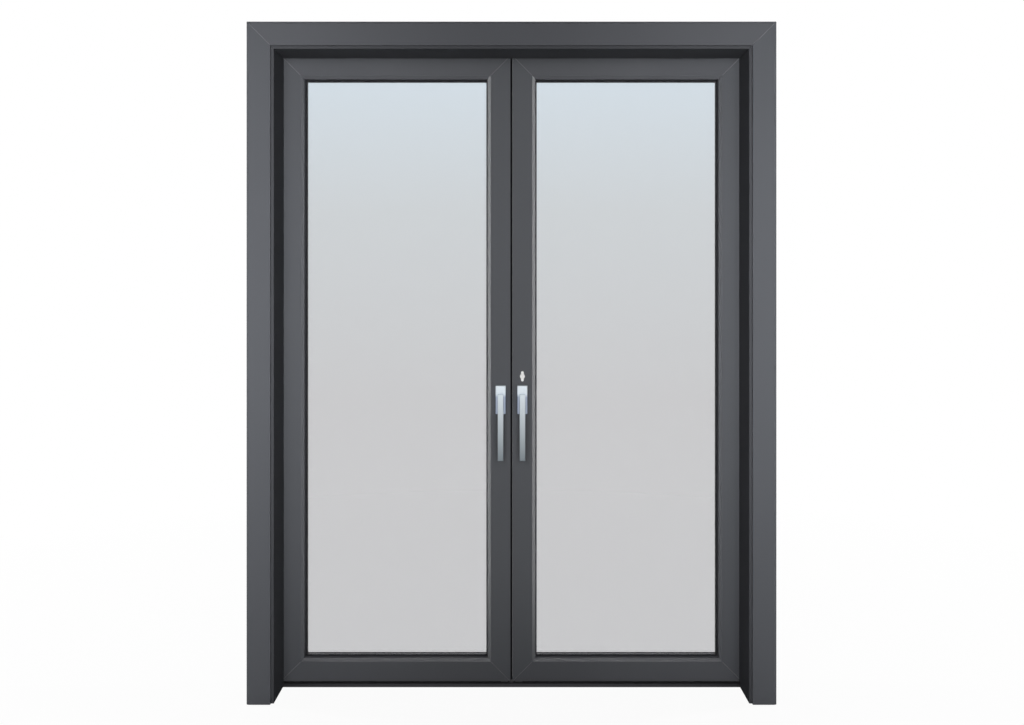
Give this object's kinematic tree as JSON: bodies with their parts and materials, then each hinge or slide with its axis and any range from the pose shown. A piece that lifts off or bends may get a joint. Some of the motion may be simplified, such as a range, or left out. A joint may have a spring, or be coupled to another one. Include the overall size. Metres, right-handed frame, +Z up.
{
  "type": "aluminium double casement door",
  "caption": "Dark grey aluminium double casement door in its lined frame, with glazed leaves, lever handles that drive bolts, and a key lock.",
  "frame": {"origin": "on the floor, midway between the jambs, in the mid-plane of the closed leaves", "axes": "+X to the right seen from the casing side, +Y away from the room, +Z up"},
  "size_m": [1.862, 0.296, 2.4],
  "materials": {
    "powder_coat": "matt dark grey powder coat",
    "glass": "clear float glass",
    "rubber_seal": "matt black",
    "handle_metal": "satin chrome",
    "lock_nickel": "satin nickel",
    "hinge_metal": "matt dark grey powder coat",
    "bolt_steel": "zinc plated",
    "mill_aluminium": "mill finish",
    "threshold_metal": "dark anodised"
  },
  "bodies": {
    "frame": {"casing_head": "powder_coat", "casing_left": "powder_coat", "casing_right": "powder_coat", "frame_corner_cleats": "mill_aluminium", "frame_gasket": "rubber_seal", "frame_head": "powder_coat", "frame_jamb_left": "powder_coat", "frame_jamb_right": "powder_coat", "head_keepers": "bolt_steel", "hinge_frame_flaps_left": "hinge_metal", "hinge_frame_flaps_right": "hinge_metal", "hinge_pins": "hinge_metal", "lining_head": "powder_coat", "lining_left": "powder_coat", "lining_right": "powder_coat", "threshold": "threshold_metal", "threshold_keepers": "bolt_steel"},
    "left_leaf": {"left_bottom_rail": "powder_coat", "left_corner_cleats": "mill_aluminium", "left_deadbolt_strike": "bolt_steel", "left_front_pane": "glass", "left_gear_case": "bolt_steel", "left_glazing_beads": "powder_coat", "left_glazing_gaskets": "rubber_seal", "left_handle_base": "handle_metal", "left_hinge_flaps": "hinge_metal", "left_hinge_stile": "powder_coat", "left_meeting_seal": "rubber_seal", "left_meeting_stile": "powder_coat", "left_rear_pane": "glass", "left_spacer_bar": "mill_aluminium", "left_top_rail": "powder_coat"},
    "right_leaf": {"key_escutcheon": "lock_nickel", "lock_case": "bolt_steel", "lock_cylinder": "lock_nickel", "right_bottom_rail": "powder_coat", "right_corner_cleats": "mill_aluminium", "right_front_pane": "glass", "right_gear_case": "bolt_steel", "right_glazing_beads": "powder_coat", "right_glazing_gaskets": "rubber_seal", "right_handle_base": "handle_metal", "right_hinge_flaps": "hinge_metal", "right_hinge_stile": "powder_coat", "right_meeting_stile": "powder_coat", "right_rear_handle_base": "handle_metal", "right_rear_pane": "glass", "right_spacer_bar": "mill_aluminium", "right_top_rail": "powder_coat"},
    "deadbolt": {"deadbolt": "bolt_steel"},
    "key_plug": {"key_plug": "lock_nickel"},
    "left_bottom_rod": {"left_bottom_rod": "bolt_steel"},
    "left_handle": {"left_gear_spindle": "bolt_steel", "left_lever": "handle_metal"},
    "left_top_rod": {"left_top_rod": "bolt_steel"},
    "right_bottom_rod": {"right_bottom_rod": "bolt_steel"},
    "right_handle": {"right_gear_spindle": "bolt_steel", "right_lever": "handle_metal", "right_rear_lever": "handle_metal"},
    "right_top_rod": {"right_top_rod": "bolt_steel"}
  },
  "joints": [
    {"name": "left_leaf_swing", "type": "hinge", "parent": "frame", "child": "left_leaf", "pos_m": [-0.8495, 0.045, 0], "axis": [0, 0, 1], "range_deg": [0, 120]},
    {"name": "left_handle_turn", "type": "hinge", "parent": "left_leaf", "child": "left_handle", "pos_m": [-0.04, 0, 1.06], "axis": [0, 1, 0], "range_deg": [0, 90]},
    {"name": "left_top_rod_slide", "type": "slide", "parent": "left_leaf", "child": "left_top_rod", "axis": [0, 0, 1], "range_m": [0, 0.0138]},
    {"name": "left_bottom_rod_slide", "type": "slide", "parent": "left_leaf", "child": "left_bottom_rod", "axis": [0, 0, -1], "range_m": [0, 0.0138]},
    {"name": "right_leaf_swing", "type": "hinge", "parent": "frame", "child": "right_leaf", "pos_m": [0.8495, 0.045, 0], "axis": [0, 0, -1], "range_deg": [0, 120]},
    {"name": "right_handle_turn", "type": "hinge", "parent": "right_leaf", "child": "right_handle", "pos_m": [0.04, 0, 1.06], "axis": [0, -1, 0], "range_deg": [0, 90]},
    {"name": "right_top_rod_slide", "type": "slide", "parent": "right_leaf", "child": "right_top_rod", "axis": [0, 0, 1], "range_m": [0, 0.0138]},
    {"name": "right_bottom_rod_slide", "type": "slide", "parent": "right_leaf", "child": "right_bottom_rod", "axis": [0, 0, -1], "range_m": [0, 0.0138]},
    {"name": "key_turn", "type": "hinge", "parent": "right_leaf", "child": "key_plug", "pos_m": [0.04, -0.035, 1.138], "axis": [0, 1, 0], "range_deg": [0, 90]},
    {"name": "deadbolt_slide", "type": "slide", "parent": "right_leaf", "child": "deadbolt", "axis": [-1, 0, 0], "range_m": [0, 0.015]}
  ],
  "couplings": [
    {"joint": "left_top_rod_slide", "follows": "left_handle_turn", "m_per_rad": 0.00875},
    {"joint": "left_bottom_rod_slide", "follows": "left_handle_turn", "m_per_rad": 0.00875},
    {"joint": "right_top_rod_slide", "follows": "right_handle_turn", "m_per_rad": 0.00875},
    {"joint": "right_bottom_rod_slide", "follows": "right_handle_turn", "m_per_rad": 0.00875},
    {"joint": "key_turn", "follows": "deadbolt_slide", "rad_per_m": 104.72}
  ]
}
